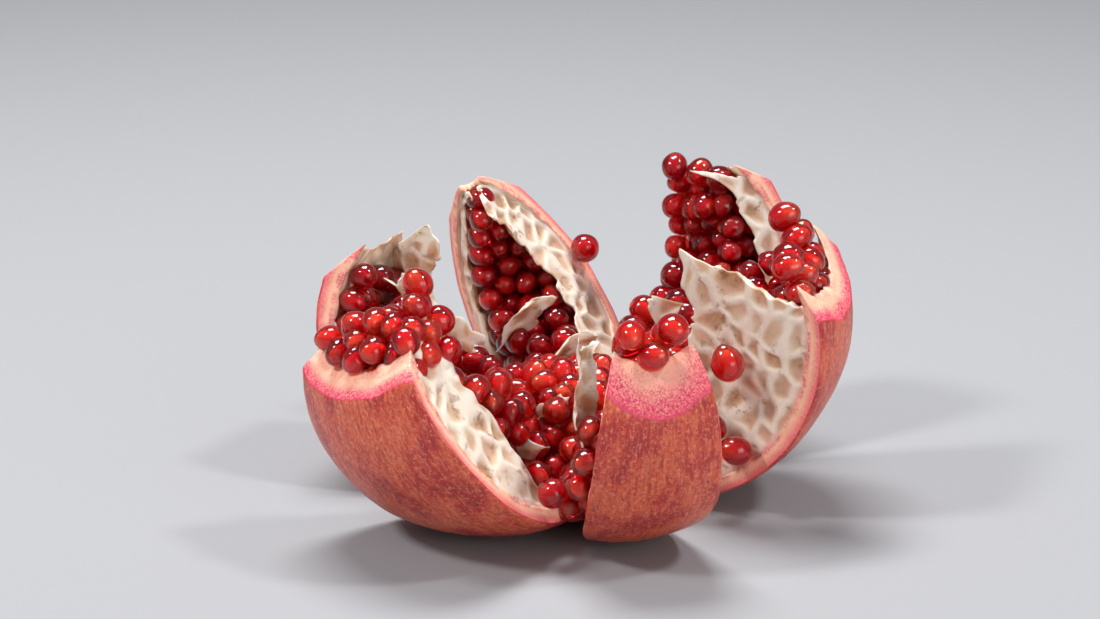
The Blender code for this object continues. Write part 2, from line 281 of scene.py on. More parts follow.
class Wire:                               # one socket that takes part in sums
    def __init__(self, finish, socket):
        self.finish = finish
        self.socket = socket

    def sum(self, operation, first, second):
        return self.finish.node("ShaderNodeMath", {"operation": operation}, {0: first, 1: second})

    def __add__(self, other):
        return self.sum("ADD", self, other)

    def __sub__(self, other):
        return self.sum("SUBTRACT", self, other)

    def __rsub__(self, other):
        return self.sum("SUBTRACT", other, self)

    def __mul__(self, other):
        return self.sum("MULTIPLY", self, other)

    __radd__ = __add__
    __rmul__ = __mul__

    def between(self, low, high, start=0.0, end=1.0):
        # eases from start at low to end at high
        return self.finish.node("ShaderNodeMapRange", {"interpolation_type": "SMOOTHSTEP"},
                                {0: self, 1: low, 2: high, 3: start, 4: end})


class Finish:                             # one material and its nodes
    def __init__(self, name):
        self.material = bpy.data.materials.new(name)
        self.material.use_nodes = True
        self.tree = self.material.node_tree
        self.shader = self.tree.nodes["Principled BSDF"]

    def node(self, kind, settings, inputs, output=0):
        made = self.tree.nodes.new(kind)
        for name, value in settings.items():
            setattr(made, name, value)
        for name, value in inputs.items():
            self.put(made.inputs[name], value)
        return Wire(self, made.outputs[output])

    def put(self, socket, value):
        if isinstance(value, Wire):
            self.tree.links.new(value.socket, socket)
        else:
            socket.default_value = value

    def surface(self, **values):
        for name, value in values.items():
            self.put(self.shader.inputs[name.replace("_", " ")], value)

    def mark(self, name, vector=False):
        return self.node("ShaderNodeAttribute", {"attribute_name": name}, {},
                         "Vector" if vector else "Fac")

    def noise(self, where, amounts, detail, rough, distort=0.0):
        # noise over a place that is stretched by the amounts along its three directions
        stretched = self.node("ShaderNodeVectorMath", {"operation": "MULTIPLY"}, {0: where, 1: amounts})
        return self.node("ShaderNodeTexNoise", {}, {"Vector": stretched, "Scale": 1.0, "Detail": detail,
                                                    "Roughness": rough, "Distortion": distort}, "Fac")

    def blend(self, share, first, second):
        return self.node("ShaderNodeMix", {"data_type": "RGBA"},
                         {0: share, 6: first, 7: second}, 2)

    def bump(self, height, strength, distance, under=None):
        inputs = {"Height": height, "Strength": strength, "Distance": distance}
        if under is not None:
            inputs["Normal"] = under
        return self.node("ShaderNodeBump", {}, inputs)


rindLook = {
    "skin": paint(206, 62, 48), "skinOrange": paint(224, 100, 64), "skinDeep": paint(160, 30, 40),
    "skinPale": paint(238, 150, 114), "scar": paint(96, 62, 48), "spot": paint(84, 44, 34),
    "edgePink": paint(222, 66, 98), "magenta": paint(208, 26, 88), "salmon": paint(246, 140, 132),
    "cream": paint(250, 196, 164), "pith": paint(238, 222, 196),
}


def rindFinish():
    finish = Finish("rindSkinAndPith")
    grain = finish.mark("grain", True)     # mm round the fruit, mm from the stem, depth in mm
    depth = finish.mark("depth")
    crown = finish.mark("crown")           # 1 on the slice across the crown
    mottle = finish.noise(grain, (0.09, 0.06, 0.0), 6.0, 0.65)
    streak = finish.noise(grain, (1.0, 0.16, 0.0), 6.0, 0.70, 0.6)
    fine = finish.noise(grain, (1.5, 0.8, 0.0), 5.0, 0.72)
    fleck = finish.noise(grain, (1.2, 0.9, 0.0), 4.0, 0.7, 0.4)
    skin = finish.blend(mottle.between(0.40, 0.58) * 0.9, rindLook["skin"], rindLook["skinOrange"])
    skin = finish.blend((1.0 - mottle).between(0.50, 0.62) * 0.6, skin, rindLook["skinDeep"])
    skin = finish.blend(streak.between(0.50, 0.62) * 0.60, skin, rindLook["skinDeep"])
    skin = finish.blend((1.0 - streak).between(0.52, 0.66) * 0.50, skin, rindLook["skinPale"])
    skin = finish.blend(fine.between(0.48, 0.62) * 0.55, skin, rindLook["skinDeep"])
    skin = finish.blend(fleck.between(0.53, 0.62) * 0.55, skin, rindLook["skinPale"])
    blemish = finish.noise(grain, (0.33, 0.27, 0.0), 2.0, 0.7)
    skin = finish.blend(blemish.between(0.70, 0.74) * 0.8, skin, rindLook["spot"])
    skin = finish.blend(finish.mark("scar"), skin, rindLook["scar"])
    # cut pith from the skin inwards: a dark pink line, magenta grains, salmon, then cream
    speck = finish.noise(grain, (1.7, 1.7, 1.7), 5.0, 0.7)
    patch = finish.noise(grain, (0.26, 0.26, 0.26), 3.0, 0.5)
    cut = finish.blend((depth + patch * 2.0).between(1.4, 4.2), rindLook["salmon"], rindLook["cream"])
    blush = (1.0 - (depth - patch * 2.2 + 1.1).between(0.9, 2.7)) * (0.35 + crown * 0.65)
    cut = finish.blend(speck.between(0.36, 0.60) * blush, cut, rindLook["magenta"])
    grains = speck.between(0.55, 0.68) * patch.between(0.30, 0.55)
    cut = finish.blend(grains * (0.25 + crown * 0.45), cut, rindLook["magenta"])
    inner = depth.between(2.6, 3.4) * patch.between(0.35, 0.58) * (1.0 - crown * 0.6)
    cut = finish.blend(inner * speck.between(0.30, 0.60) * 0.8, cut, rindLook["edgePink"])
    cut = finish.blend((1.0 - depth.between(0.15, 0.60)) * 0.85, cut, rindLook["edgePink"])
    cut = finish.blend(finish.mark("inside"), cut, rindLook["pith"])
    onSkin = 1.0 - depth.between(0.05, 0.22)
    finish.surface(Base_Color=finish.blend(onSkin, cut, skin))
    finish.surface(Roughness=0.62 - onSkin * 0.20 + fine * 0.08 - 0.04)
    finish.surface(Subsurface_Weight=0.10, Subsurface_Radius=(0.003, 0.0012, 0.0008),
                   Subsurface_Scale=0.6, Coat_Weight=onSkin * 0.10, Coat_Roughness=0.35)
    pores = finish.noise(grain, (3.2, 3.2, 3.2), 3.0, 0.6)
    relief = finish.bump(streak * 0.5 + fine * 0.4, 0.16, 0.0006)
    finish.surface(Normal=finish.bump(pores + speck * (1.0 - onSkin) * 2.0, 0.20, 0.0004, relief))
    return finish.material


membraneLook = {
    "ridge": paint(240, 226, 210), "cream": paint(222, 196, 168), "tan": paint(184, 140, 104),
    "brown": paint(128, 82, 60), "pink": paint(240, 146, 146), "rose": paint(210, 150, 134),
}


def membraneFinish():
    finish = Finish("membrane")
    grain = finish.mark("grain", True)
    dimple = finish.mark("dimple")
    depth = finish.mark("depth")
    patch = finish.noise(grain, (0.11, 0.11, 0.11), 3.0, 0.55)
    stain = finish.noise(grain, (0.36, 0.36, 0.36), 4.0, 0.6)
    fibre = finish.noise(grain, (1.6, 0.5, 1.6), 4.0, 0.6)
    # painted highlight and shade: lighter on the ridges between the aril prints, darker cream, tan and
    # rose in their hollows; the tan and rose also follow patchy tint
    colour = finish.blend(dimple.between(0.05, 0.55), membraneLook["ridge"], membraneLook["cream"])
    colour = finish.blend(dimple.between(0.25, 0.9) * patch.between(0.38, 0.54) * 0.9, colour,
                          membraneLook["tan"])
    colour = finish.blend(dimple.between(0.3, 1.0) * (1.0 - patch).between(0.46, 0.60) * 0.7, colour,
                          membraneLook["rose"])
    colour = finish.blend(stain.between(0.53, 0.64) * patch.between(0.42, 0.58) * 0.6, colour,
                          membraneLook["brown"])
    colour = finish.blend((1.0 - (depth - stain * 4.0).between(1.0, 4.0)) * 0.7, colour,
                          membraneLook["pink"])
    finish.surface(Base_Color=finish.blend(fibre.between(0.45, 0.8) * 0.35, colour,
                                           membraneLook["cream"]))
    finish.surface(Roughness=0.38 + fibre * 0.2, Subsurface_Weight=0.35,
                   Subsurface_Radius=(0.004, 0.0026, 0.0018), Subsurface_Scale=0.8)
    finish.surface(Normal=finish.bump(fibre + stain, 0.25, 0.0006))
    return finish.material


arilLook = {
    "flesh": paint(216, 10, 30), "fleshBright": paint(250, 54, 40), "fleshDark": paint(160, 4, 30),
    "tip": paint(255, 120, 80), "seed": paint(255, 214, 178), "seedPink": paint(250, 150, 126),
}


def arilFinish():
    finish = Finish("arilFlesh")
    tone = finish.mark("tone")             # one value for each aril, random within a range that is lower in the chambers and higher on the mound, a painted shade and light
    tip = finish.mark("tip")               # 1 at the pointed end, where an orange glow is painted for light passing through the aril
    where = finish.node("ShaderNodeTexCoord", {}, {}, "Object")
    cloud = finish.noise(where, (260.0, 260.0, 260.0), 3.0, 0.5)
    colour = finish.blend(tone.between(0.0, 0.6), arilLook["fleshDark"], arilLook["flesh"])
    colour = finish.blend(tone.between(0.55, 1.0) * 0.85, colour, arilLook["fleshBright"])
    # painted glow: orange towards each aril's pointed end, standing in for light that passes through the
    # flesh and the seed
    colour = finish.blend(tip * cloud.between(0.25, 0.6) * 0.6, colour, arilLook["tip"])
    finish.surface(Base_Color=colour, Roughness=0.02 + cloud * 0.05, IOR=1.38,
                   Transmission_Weight=0.86, Subsurface_Weight=0.5,
                   Subsurface_Radius=(0.006, 0.0008, 0.0006), Subsurface_Scale=0.9,
                   Coat_Weight=0.6, Coat_Roughness=0.02)
    finish.surface(Normal=finish.bump(cloud, 0.12, 0.0006))
    return finish.material


def seedFinish():
    finish = Finish("seedCore")
    tone = finish.mark("tone")
    # the seed follows its aril's tone, so the painted brightness of the mound also makes its seeds paler
    finish.surface(Base_Color=finish.blend(tone, arilLook["seedPink"], arilLook["seed"]),
                   Roughness=0.5, Subsurface_Weight=0.2, Subsurface_Radius=(0.002, 0.001, 0.0006),
                   Subsurface_Scale=0.5)
    return finish.material


rindMaterial = rindFinish()
membraneMaterial = membraneFinish()
arilMaterial = arilFinish()
seedMaterial = seedFinish()
print("finishes made")


rindShape = {
    "mesh": (64, 150, 10),        # steps across, along and through
    "lumps": 0.45,                # mm, slow waves of the skin
    "creases": 0.10,              # mm, fine relief of the skin
    "wobble": 0.50,               # mm, how far the cut edges wander
    "ragged": 1.1,                # mm, unevenness of the crown cut
    "pitted": 0.45,               # mm, relief of the cut pith
}


def rindThickness(t):
    return fruit["rind"] + (fruit["rindAtCrown"] - fruit["rind"]) * smoothStep(t, 1.6, 2.4)


def rindBlock(seg):
    half = math.radians(seg["half"])
    first = math.radians(fruit["firstRing"])
    seed = seg["seed"] * 31

    def shape(across, along, through):
        # across is the longitude, along the angle from the stem to the crown cut, and through
        # the depth; each cut face and the crown wander with smooth noise
        side = 2.0 * across - 1.0
        lam = half * side
        t = first + (crownAngle(seg, lam, 0.0) - first) * along
        depth = through * rindThickness(t)
        cut = crownAngle(seg, lam, depth)
        t = first + (cut - first) * along
        plain = closedPoint(seg, t, lam, depth)
        radius = fruit["equator"] * seg["size"] * np.sin(t) + 1.0
        fade = smoothStep(t, 0.25, 0.6)
        wander = roughNoise(plain * np.array([0.6, 0.0, 0.6]) + 50.0 * np.sign(side)[..., None],
                            11.0, seed, 3) * rindShape["wobble"] * fade
        pits = roughNoise(plain, 2.6, seed + 5, 3) * rindShape["pitted"] * smoothStep(through, 0.02, 0.3)
        lam = lam + side ** 9 * (wander - 0.35 * pits * fade) / radius
        crumble = roughNoise(plain, 5.0, seed + 9, 3) * rindShape["ragged"]
        t = t + smoothStep(along, 0.93, 1.0) * (crumble * 0.6 + pits * 0.7) / fruit["equator"]
        lumps = latticeNoise(plain, 17.0, seed + 2) * rindShape["lumps"]
        creases = roughNoise(plain * np.array([1.0, 1.0, 0.25]), 2.2, seed + 3, 2) * rindShape["creases"]
        inside = smoothStep(through, 0.85, 1.0)
        hollow = cellHollows(np.stack([lam * 40.0, t * 44.0], -1), 7.0, seed + 4)
        outer = (1.0 - through) * (lumps + creases) * fade
        rounded = 0.35 * np.abs(side) ** 40 * (1.0 - through) ** 3 * fade
        at = closedPoint(seg, t, lam, depth - outer + rounded + inside * hollow * 0.9 * fade)
        marks = {
            "grain": np.stack([lam * 42.0 + seg["seed"] * 97.0, t * 45.0, depth], -1),
            "depth": depth,
            "inside": inside * (1.0 - smoothStep(np.abs(side), 0.97, 1.0)) * (along < 0.999),
            "scar": np.zeros_like(depth),
            "crown": 1.0 * (along > 0.999),
        }
        spots = opened(seg, at, t)
        spots[..., 2] = np.maximum(spots[..., 2], 0.0)      # pressed flat where it rests
        return spots, marks

    return closedBlock(rindShape["mesh"], shape)


membraneShape = {
    "step": 0.55,              # mm between points
    "rooted": 1.2,             # mm that the sheet starts inside the rind
    "thickness": 2.0,          # mm at the ridges
    "overStem": 6.0,           # degrees between the first ring of the rind and the lowest start
    "topGap": 0.02,            # radians between the top edge and the level of the crown cut's corner
    "recess": 0.55,            # mm behind the cut face
    "cell": 6.2,               # mm, the print of one aril
    "dimple": 0.95,            # mm, depth of a print
    "ragged": 2.2,             # mm, unevenness of the free edge
    "waves": 1.2,              # mm, how far the sheet wanders sideways
}


def membraneBlock(seg, membrane, number):
    sign, start, end, rise, fall, reach = membrane
    half = math.radians(seg["half"])
    lowest = fruit["firstRing"] + membraneShape["overStem"]
    first = math.radians(max(lowest, start - 2.0))
    seed = seg["seed"] * 57 + number * 13
    root = fruit["rind"] - membraneShape["rooted"]

    def shape(down, along, through):
        # down is the depth below the skin, along the angle from the stem, and through the
        # thickness; prints of arils hollow both faces and the free edge is torn
        t0 = first + (levelAngle(seg, root) - membraneShape["topGap"] - first) * along
        rising = smoothStep(t0, math.radians(start), math.radians(start + rise))
        falling = smoothStep(math.radians(end) - t0, 0.0, math.radians(fall))
        flat = np.stack([t0 * 40.0, 0.0 * t0, 0.0 * t0 + sign * 40.0], -1)
        torn = roughNoise(flat, 7.0, seed, 3) * membraneShape["ragged"]
        deep = fruit["rind"] + 0.4 + (reach - fruit["rind"]) * rising * falling
        deep = deep + torn * rising * falling
        depth = root + (deep - root) * down
        crumble = roughNoise(flat[..., [2, 1, 0]] + depth[..., None] * 3.0, 6.0, seed + 11, 3)
        top = levelAngle(seg, depth) - membraneShape["topGap"] * (1.0 - crumble)
        t = first + (top - first) * along
        plane = closedPoint(seg, t, 0.0 * t, depth)[..., [0, 2]]
        warp = np.stack([roughNoise(np.stack([plane[..., 0], plane[..., 1], 0 * t + shift], -1),
                                    9.0, seed + 2, 2) for shift in (0.0, 90.0)], -1)
        bowl = cellHollows(plane + warp * 2.0, membraneShape["cell"], seed + 3)
        back = cellHollows(plane + warp * 2.0 + 3.1, membraneShape["cell"], seed + 4)
        thin = 1.0 - 0.75 * smoothStep(down, 0.80, 1.0)
        thickness = membraneShape["thickness"] * thin
        sway = roughNoise(np.stack([plane[..., 0], plane[..., 1], 0 * t], -1), 16.0, seed + 7, 2)
        sway = sway * membraneShape["waves"] * smoothStep(depth, 4.0, 12.0)
        front = bowl * membraneShape["dimple"] * smoothStep(depth, 3.0, 6.0)
        rear = back * membraneShape["dimple"] * thin * smoothStep(depth, 3.0, 6.0)
        inward = membraneShape["recess"] + sway + front * thin
        inward = inward + (thickness - front * thin - rear * 0.6).clip(0.25) * through
        radius = (fruit["equator"] * seg["size"] - depth) * np.sin(t)
        lam = sign * (half - np.minimum(0.6 * half, inward / np.maximum(radius, 2.0)))
        marks = {
            "grain": np.stack([plane[..., 0], plane[..., 1], 0.0 * t + sign * 20.0 + number * 9.0], -1),
            "depth": depth,
            "dimple": np.where(through < 0.5, bowl, back) * smoothStep(depth, 3.0, 6.0),
        }
        return opened(seg, closedPoint(seg, t, lam, depth), t), marks

    span = math.radians(seg["crown"]) * fruit["equator"]
    counts = (max(10, int(reach / membraneShape["step"])), int(span / membraneShape["step"] / 1.25), 3)
    return closedBlock(counts, shape, inverted=sign < 0)


baseShape = {"turns": 96, "angle": 15.0, "stem": 3.0, "stemLength": 1.3, "thickness": 5.2}


def baseBlock():
    # a disc of the fruit's own curve round the stem end, with the stub of the stem and its scar
    def shape(turn, out, through):
        angle = 2.0 * math.pi * turn
        t = math.radians(baseShape["angle"]) * (0.002 + 0.998 * out)
        radius = fruit["equator"] * np.sin(t)
        below = fruit["polar"] * (1.0 - np.cos(t)) + 0.3
        stem = 1.0 - smoothStep(radius, baseShape["stem"] - 0.9, baseShape["stem"] + 0.4)
        pucker = np.exp(-((radius - baseShape["stem"] - 1.2) / 1.0) ** 2) * 0.35
        frayed = latticeNoise(np.stack([np.cos(angle), np.sin(angle), 0 * t], -1) * 4.0, 1.1, 5) * 0.25
        low = below + pucker - stem * (baseShape["stemLength"] + frayed)
        high = below + baseShape["thickness"]
        z = low + (high - low) * through - fruit["baseDrop"]
        at = np.stack([radius * np.cos(angle), radius * np.sin(angle), z], -1) + np.array(fruit["heart"])
        marks = {
            "grain": np.stack([angle * 42.0, t * 45.0, 0 * t], -1),
            "depth": 3.0 * through,
            "inside": through,
            "scar": np.clip(stem + pucker, 0.0, 1.0),
            "crown": 0.0 * t,
        }
        return at, marks

    block = closedBlock((baseShape["turns"], 20, 2), shape)
    return weldedBlock(block)


def weldedBlock(block):
    # points that fall on each other become one, and the faces that shrink or double up go
    keys, first, same = np.unique(np.round(block["points"], 4), axis=0, return_index=True,
                                  return_inverse=True)
    faces = same.ravel()[block["faces"]]
    flat = np.sort(faces, axis=1)
    whole = (np.diff(flat, axis=1) > 0).all(axis=1)
    unique, index, count = np.unique(flat[whole], axis=0, return_index=True, return_counts=True)
    marks = {name: values[first] for name, values in block["marks"].items()}
    return {"points": block["points"][first], "faces": faces[whole][index[count == 1]], "marks": marks}


# Torn bits of membrane: from, to, the way across (mm from the hinge level's middle), width, curl.
fragments = {
    "mesh": (34, 20, 2), "thickness": 0.9,
    "bits": (
        ((-10, 14, 17), (-3, 11, 30), (9, 3, 1), 10.0, 2.5),
        ((-14, -15, 13), (-9, -17, 24), (8, -2, 2), 7.0, 1.8),
        ((-19, -24, 9), (-13, -27, 18), (8, 1, -3), 8.0, -1.8),
        ((-24, -27, 14), (-18, -24, 22), (5, -7, 3), 7.5, 1.6),
        ((-20, 33, 22), (-13, 31, 33), (8, 2, 1), 8.0, 2.2),
        ((-47, -1, 49), (-27, 3, 31), (4, -5, 8), 7.5, 2.2),
        ((-2, -36, 45), (-1, -45, 22), (-6, -5, 2), 6.0, 1.8),
        ((9, 14, 15), (15, 10, 27), (7, -5, 2), 8.0, -2.0),
    ),
}


def fragmentBlock(start, end, way, width, curl, seed):
    start, end, way = (np.array(value, float) for value in (start, end, way))
    way = way / np.linalg.norm(way)
    normal = np.cross(end - start, way)
    normal = normal / np.linalg.norm(normal)

    def shape(along, across, through):
        # a strip along a line, bowed across, with torn edges that thin out and prints of arils
        plane = np.stack([along * np.linalg.norm(end - start), across * width, 0.0 * along], -1)
        torn = roughNoise(plane, 4.0, seed, 3) * (np.abs(2.0 * across - 1.0) ** 3) * 1.3
        narrow = 0.45 + 0.55 * np.sin(math.pi * (0.12 + 0.76 * along)) ** 0.7
        side = (across - 0.5) * width * narrow + torn * np.sign(across - 0.5)
        ragged = roughNoise(plane + 40.0, 4.0, seed, 3) * (np.abs(2.0 * along - 1.0) ** 5) * 1.6
        hollow = cellHollows(plane[..., :2], 5.5, seed + 2)
        edge = np.maximum(np.abs(2.0 * across - 1.0), np.abs(2.0 * along - 1.0))
        thin = 1.0 - 0.8 * smoothStep(edge, 0.6, 1.0)
        bow = curl * (1.0 - (2.0 * across - 1.0) ** 2) + roughNoise(plane, 8.0, seed + 5, 2) * 1.2
        lift = bow + hollow * 0.5 + (through - 0.5) * fragments["thickness"] * thin
        at = start + (end - start) * along[..., None] + way * side[..., None]
        at = at + normal * lift[..., None] + ragged[..., None] * (end - start) * 0.06
        marks = {"grain": plane + seed * 13.0, "depth": 6.0 + 0.0 * along, "dimple": hollow}
        return at + np.array(fruit["heart"]), marks

    return closedBlock(fragments["mesh"], shape)


for name, seg in segments.items():
    fitPiece(makePiece("rind_" + name, rindBlock(seg), [rindMaterial]), "rind", "husk")
    sheets = [membraneBlock(seg, membrane, number) for number, membrane in enumerate(seg["membranes"])]
    fitPiece(makePiece("membranes_" + name, joined(sheets), [membraneMaterial]), "rind", "husk")
    print("husk of", name)
fitPiece(makePiece("stem_end", baseBlock(), [rindMaterial]), "rind", "husk")
bits = joined([fragmentBlock(*bit, 300 + number) for number, bit in enumerate(fragments["bits"])])
fitPiece(makePiece("membrane_fragments", bits, [membraneMaterial]), "rind", "husk")


arilShape = {
    "spacing": 6.5,            # mm between neighbours' middles
    "density": 1.45,           # arils for each cube of that spacing
    "halfWidth": 3.75,         # mm
    "halfLength": 4.7,         # mm, from the broad end to the point
    "point": 0.30,             # how much slimmer the pointed end is
    "seam": 0.07,              # mm between two arils that touch
    "squareness": 13.0,        # how flat arils press against each other
    "lean": 0.45,              # how far an aril may lean off the way it grew
    "seedSize": (0.40, 0.40, 0.58),   # the seed against the aril
}

# Where each mass lies: depth that it reaches below the skin near the stem and near the crown,
# angle from the stem where it starts, how far it stands over the crown cut at the rind and at
# its inner side, how far it spills over the cut rind there, and (mm out of the cut face, angle
# where that ends) for the clockwise and the anticlockwise face.
masses = {
    "front_left": {"reach": (36.0, 25.0), "from": 34, "proud": (6.5, 3.0), "spill": 3.0,
                   "out": ((0.8, 180), (1.6, 180))},
    "front": {"reach": (34.0, 22.0), "from": 32, "proud": (9.5, 9.0), "spill": 5.5,
              "out": ((7.5, 105), (0.8, 180))},
    "right": {"reach": (35.0, 22.0), "from": 32, "proud": (2.5, -13.0), "spill": 0.0,
              "out": ((-1.5, 180), (1.0, 180))},
    "back_right": {"reach": (35.0, 15.5), "from": 34, "proud": (2.0, -7.0), "spill": 1.0,
                   "out": ((1.5, 180), (1.2, 180))},
    "back_left": {"reach": (25.0, 15.0), "from": 32, "proud": (1.0, -2.0), "spill": 0.0,
                  "out": ((0.2, 180), (0.4, 180))},
    "left": {"reach": (30.0, 17.0), "from": 34, "proud": (-1.5, -15.0), "spill": 0.0,
             "out": ((0.8, 180), (1.0, 180))},
}
packing = {
    "trial": 6000,             # points tried in each segment before the packing
    "steps": 140,              # steps in which the arils push each other apart
    "outward": 0.08,           # mm that each step draws an aril towards the rind
    "offRind": 2.9,            # mm from the inside of the rind to an aril's middle
    "offHeart": 3.0,           # mm from the mass's inner end to an aril's middle
    "offFace": 3.4,            # mm from a cut face to an aril's middle
    "offMembrane": 3.1,        # mm from a membrane to an aril's middle
    "spillOver": 0.08,         # radians over the crown cut at which the whole spill is reached
    "far": 9.0,                # an angle past every bend, at which a segment turns stiffly
}
mound = {
    "middle": (-5.0, -1.0), "radius": 27.0, "top": 26.0, "bottom": 6.5,   # mm
    "count": 190,              # arils tried
    "steps": 90,
    "inward": 0.004,           # share of the way to the middle that each step draws an aril in
    "sink": 0.12,              # mm that each step lowers an aril
    "offHusk": 3.2,            # mm from the husk to an aril's middle
    "crowded": 5.3,            # mm between two middles under which one of the arils goes
}


def membraneReach(seg, sign, t):
    deepest = np.full(t.shape, fruit["rind"])
    for side, start, end, rise, fall, reach in seg["membranes"]:
        if side == sign:
            rising = smoothStep(t, math.radians(start), math.radians(start + rise))
            falling = smoothStep(math.radians(end) - t, 0.0, math.radians(fall))
            deepest = np.maximum(deepest, fruit["rind"] + (reach - fruit["rind"]) * rising * falling)
    return deepest


def massReach(mass, t):
    near, far = mass["reach"]
    return near + (far - near) * smoothStep(t, 1.2, 2.2)


def heldInChamber(points, seg, mass):
    # reads each point's angle from the stem, longitude and depth, holds them between the rind,
    # the inner end of the mass, the two faces and the crown cut, and turns them back; then it
    # pushes what still stands over the crown plane straight down to it
    across = fruit["equator"] * seg["size"]
    along = fruit["polar"] * seg["size"]
    half = math.radians(seg["half"])
    radius = np.hypot(points[:, 0], points[:, 1])
    up = along - points[:, 2]
    lam = np.arctan2(points[:, 1], points[:, 0])
    turn = np.arctan2(radius, up)
    depth = 1.0 / np.hypot(np.sin(turn) / across, np.cos(turn) / along) - np.hypot(radius, up)
    turn = np.arctan2(radius / (across - depth), up / (along - depth))
    above = smoothStep(turn - crownAngle(seg, np.clip(lam, -half, half), depth),
                       0.0, packing["spillOver"])
    shallowest = rindThickness(turn) + packing["offRind"] - mass["spill"] * above
    depth = np.clip(depth, shallowest, massReach(mass, turn) - packing["offHeart"])
    t = np.maximum(turn, math.radians(mass["from"]))
    radius = (across - depth) * np.sin(t)
    edges = []
    for index, sign in enumerate((-1, 1)):
        out, end = mass["out"][index]
        reach = membraneReach(seg, sign, t)
        behind = 1.0 - smoothStep(depth, reach + 0.5, reach + 3.0)
        ends = smoothStep(t, math.radians(end - 12), math.radians(end))
        free = packing["offFace"] - out * (1.0 - ends)
        wall = membraneShape["recess"] + membraneShape["thickness"] + packing["offMembrane"]
        margin = free + (wall - free) * behind * (reach > fruit["rind"] + 1.5)
        edges.append(half - margin / np.maximum(radius, 3.0))
    middle = (edges[1] - edges[0]) / 2.0
    lam = np.clip(lam, np.minimum(-edges[0], middle), np.maximum(edges[1], middle))
    atRind, atHeart = mass["proud"]
    proud = atRind + (atHeart - atRind) * smoothStep(depth, 8.0, mass["reach"][1] - 2.0)
    over = (proud - arilShape["halfWidth"]) / fruit["equator"]
    t = np.minimum(t, crownAngle(seg, lam, depth) + over)
    slope = math.radians(seg["slope"])
    crown = math.radians(seg["crown"])
    normal = np.array([math.sin(slope), 0.0, math.cos(slope)])
    level = across * math.sin(crown) * normal[0] - along * math.cos(crown) * normal[2]
    held = closedPoint(seg, t, lam, depth)
    height = (held - np.array([0.0, 0.0, along])) @ normal - level
    over = (height + arilShape["halfWidth"] - proud).clip(0.0)
    return held - over[:, None] * normal, t


def pushedApart(points, spacing, others=None):
    # every two nearer than the spacing each give way by a third of what is missing, and by a
    # half to the others, which stay
    gap = points[:, None] - points[None]
    far = np.linalg.norm(gap, axis=2) + np.eye(len(points)) * 99.0
    moved = points + (gap / far[..., None] * (spacing - far).clip(0.0)[..., None]).sum(1) * 0.33
    if others is not None:
        gap = points[:, None] - others[None]
        far = np.linalg.norm(gap, axis=2) + 1e-6
        moved = moved + (gap / far[..., None] * (spacing - far).clip(0.0)[..., None]).sum(1) * 0.5
    return moved


def packedChamber(seg, mass):
    chance = np.random.default_rng(seg["seed"] * 11)
    half = math.radians(seg["half"])
    trial = packing["trial"]
    t = np.arccos(chance.uniform(-0.95, math.cos(math.radians(mass["from"])), trial))
    share = chance.uniform(0.0, 1.0, trial)
    outer = (fruit["equator"] * seg["size"] - fruit["rind"]) ** 3
    inner = (fruit["equator"] * seg["size"] - mass["reach"][0]) ** 3
    depth = fruit["equator"] * seg["size"] - np.cbrt(outer + (inner - outer) * share)
    tries = closedPoint(seg, t, chance.uniform(-half, half, trial), depth)
    held, t = heldInChamber(tries, seg, mass)
    volume = 2.0 * half / 3.0 * (outer - inner) * (0.95 + math.cos(math.radians(mass["from"])))
    volume = volume * (np.linalg.norm(held - tries, axis=1) < 2.5).mean()
    count = int(arilShape["density"] * volume / arilShape["spacing"] ** 3)
    points = held[chance.permutation(trial)[:count]]
    core = np.array([0.0, 0.0, fruit["polar"] * seg["size"]])
    for step in range(packing["steps"]):
        outward = points - core
        outward = outward / np.linalg.norm(outward, axis=1)[:, None]
        points = pushedApart(points + outward * packing["outward"], arilShape["spacing"])
        points, t = heldInChamber(points, seg, mass)
    stiff = np.full(len(t), packing["far"])
    placed = opened(seg, points, stiff)
    ways = opened(seg, points + (points - core) * 0.01, stiff) - placed
    return placed, ways / np.linalg.norm(ways, axis=1)[:, None]


